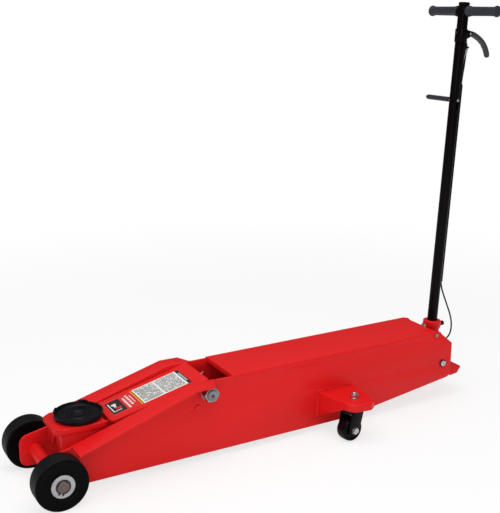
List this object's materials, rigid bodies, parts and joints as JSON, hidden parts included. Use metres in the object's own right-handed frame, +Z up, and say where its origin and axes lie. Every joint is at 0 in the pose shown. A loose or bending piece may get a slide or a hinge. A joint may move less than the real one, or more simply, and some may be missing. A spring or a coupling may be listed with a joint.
{
  "type": "long-chassis service jack",
  "caption": "Red long-chassis hydraulic service jack: saddle on a parallel lift arm, steel front wheels, swivel casters and a T-handle with squeeze release.",
  "frame": {"origin": "on the floor, under the middle of the jack's overall length and width", "axes": "+X from the saddle to the handle, +Y to the right-hand side plate, +Z up"},
  "size_m": [1.6365, 0.482, 1.3168],
  "materials": {
    "red_paint": "gloss red enamel",
    "black_paint": "gloss black enamel",
    "black_rubber": "matt moulded rubber",
    "wheel_black": "satin black painted casting",
    "caster_black": "satin moulded nylon",
    "saddle_black": "semi-gloss black casting",
    "lever_grey": "dark grey die casting",
    "zinc": "bright zinc plate",
    "steel": "machined steel",
    "bronze": "plain bronze",
    "label": null,
    "black_plastic": "moulded plastic"
  },
  "bodies": {
    "chassis": {"side_plate_left": "red_paint", "side_plate_right": "red_paint", "top_cover": "red_paint", "belly_plate": "red_paint", "cross_ties": "red_paint", "front_axle": "steel", "wheel_retainers": "zinc", "arm_pivot_shaft": "steel", "pivot_fasteners": "zinc", "link_anchor_pins": "red_paint", "cover_screws": "zinc", "handle_pivot_bolt": "steel", "caster_bracket_left": "red_paint", "caster_bracket_right": "red_paint", "caster_studs": "zinc", "pump_block": "steel", "cylinder_tube": "steel", "reservoir_shell": "red_paint", "release_valve": "zinc", "lock_quadrant": "steel", "cable_anchor": "zinc", "pump_spring": "steel", "release_cable": "black_rubber", "return_springs": "steel"},
    "lift_arm": {"arm_cheeks": "red_paint", "arm_top_plate": "red_paint", "arm_cross_tubes": "red_paint", "crank_pin": "steel", "head_pin": "red_paint", "arm_bushes": "bronze", "grease_nipple": "zinc", "arm_label": "label"},
    "head": {"saddle_bracket": "red_paint", "link_front_pin": "red_paint"},
    "saddle": {"saddle": "saddle_black"},
    "levelling_links": {"levelling_links": "red_paint"},
    "ram": {"ram_yoke": "steel", "ram_rod": "steel"},
    "pump_plunger": {"pump_plunger": "steel"},
    "front_wheel_left": {"front_wheel_left": "wheel_black"},
    "front_wheel_right": {"front_wheel_right": "wheel_black"},
    "caster_left": {"caster_fork_left": "black_paint"},
    "caster_right": {"caster_fork_right": "black_paint"},
    "caster_wheel_left": {"caster_wheel_left": "caster_black"},
    "caster_wheel_right": {"caster_wheel_right": "caster_black"},
    "handle": {"handle_socket": "red_paint", "clamp_bolt": "zinc", "handle_tube": "black_paint", "cable_conduit": "black_paint", "t_bar": "black_paint", "hand_grips": "black_rubber", "tube_cap": "black_plastic", "cam_roller": "steel", "lever_bracket": "black_paint", "cable_adjuster": "zinc"},
    "squeeze_lever": {"squeeze_lever": "lever_grey"},
    "lock_lever": {"lock_lever": "zinc", "lock_grip": "black_rubber", "lock_rod": "zinc"},
    "release_lever": {"release_lever": "zinc"}
  },
  "joints": [
    {"name": "arm_lift", "type": "hinge", "parent": "chassis", "child": "lift_arm", "pos_m": [-0.26926, 0, 0.215], "axis": [0, 1, 0], "range_deg": [0, 67], "deforming": ["return_springs"]},
    {"name": "head_level", "type": "hinge", "parent": "lift_arm", "child": "head", "pos_m": [-0.63626, 0, 0.148], "axis": [0, 1, 0], "range_deg": [-67.5, 0.5]},
    {"name": "links_swing", "type": "hinge", "parent": "chassis", "child": "levelling_links", "pos_m": [-0.30426, 0, 0.173], "axis": [0, 1, 0], "range_deg": [-0.5, 67.5]},
    {"name": "ram_push", "type": "slide", "parent": "chassis", "child": "ram", "axis": [-1, 0, 0], "range_m": [-0.0005, 0.117]},
    {"name": "saddle_turn", "type": "hinge", "parent": "head", "child": "saddle", "pos_m": [-0.63626, 0, 0.185], "axis": [0, 0, 1], "continuous": true},
    {"name": "wheel_left_spin", "type": "hinge", "parent": "chassis", "child": "front_wheel_left", "pos_m": [-0.74326, -0.1395, 0.075], "axis": [0, 1, 0], "continuous": true},
    {"name": "wheel_right_spin", "type": "hinge", "parent": "chassis", "child": "front_wheel_right", "pos_m": [-0.74326, 0.1395, 0.075], "axis": [0, 1, 0], "continuous": true},
    {"name": "caster_left_swivel", "type": "hinge", "parent": "chassis", "child": "caster_left", "pos_m": [0.18874, -0.18, 0.0375], "axis": [0, 0, 1], "continuous": true},
    {"name": "caster_right_swivel", "type": "hinge", "parent": "chassis", "child": "caster_right", "pos_m": [0.18874, 0.18, 0.0375], "axis": [0, 0, 1], "continuous": true},
    {"name": "caster_left_spin", "type": "hinge", "parent": "caster_left", "child": "caster_wheel_left", "pos_m": [0.17091, -0.18251, 0.0375], "axis": [0.1392, -0.9903, 0], "continuous": true},
    {"name": "caster_right_spin", "type": "hinge", "parent": "caster_right", "child": "caster_wheel_right", "pos_m": [0.17091, 0.18251, 0.0375], "axis": [0.1392, 0.9903, 0], "continuous": true},
    {"name": "handle_tilt", "type": "hinge", "parent": "chassis", "child": "handle", "pos_m": [0.61874, 0, 0.134], "axis": [0, 1, 0], "range_deg": [0, 60], "deforming": ["release_cable"]},
    {"name": "plunger_push", "type": "slide", "parent": "chassis", "child": "pump_plunger", "axis": [-1, 0, 0], "range_m": [-0.0005, 0.033], "deforming": ["pump_spring"]},
    {"name": "release_squeeze", "type": "hinge", "parent": "handle", "child": "squeeze_lever", "pos_m": [0.7244, 0, 1.21741], "axis": [0, -1, 0], "range_deg": [0, 22], "stiffness_Nm_per_rad": 1.5, "springref_deg": -20.05},
    {"name": "release_turn", "type": "hinge", "parent": "chassis", "child": "release_lever", "pos_m": [0.57474, 0, 0.15], "axis": [0, 1, 0], "range_deg": [-0.5, 12.5]},
    {"name": "lock_slide", "type": "slide", "parent": "handle", "child": "lock_lever", "axis": [-0.0602, 0, -0.9982], "range_m": [0, 0.022], "stiffness_N_per_m": 400, "springref_m": -0.03}
  ],
  "couplings": [
    {"joint": "head_level", "follows": "arm_lift", "ratio": -1},
    {"joint": "links_swing", "follows": "arm_lift", "ratio": 1},
    {"joint": "ram_push", "follows": "arm_lift", "m_per_rad": 0.099119},
    {"joint": "plunger_push", "follows": "handle_tilt", "m_per_rad": 0.030558},
    {"joint": "release_turn", "follows": "release_squeeze", "ratio": 0.54546}
  ]
}
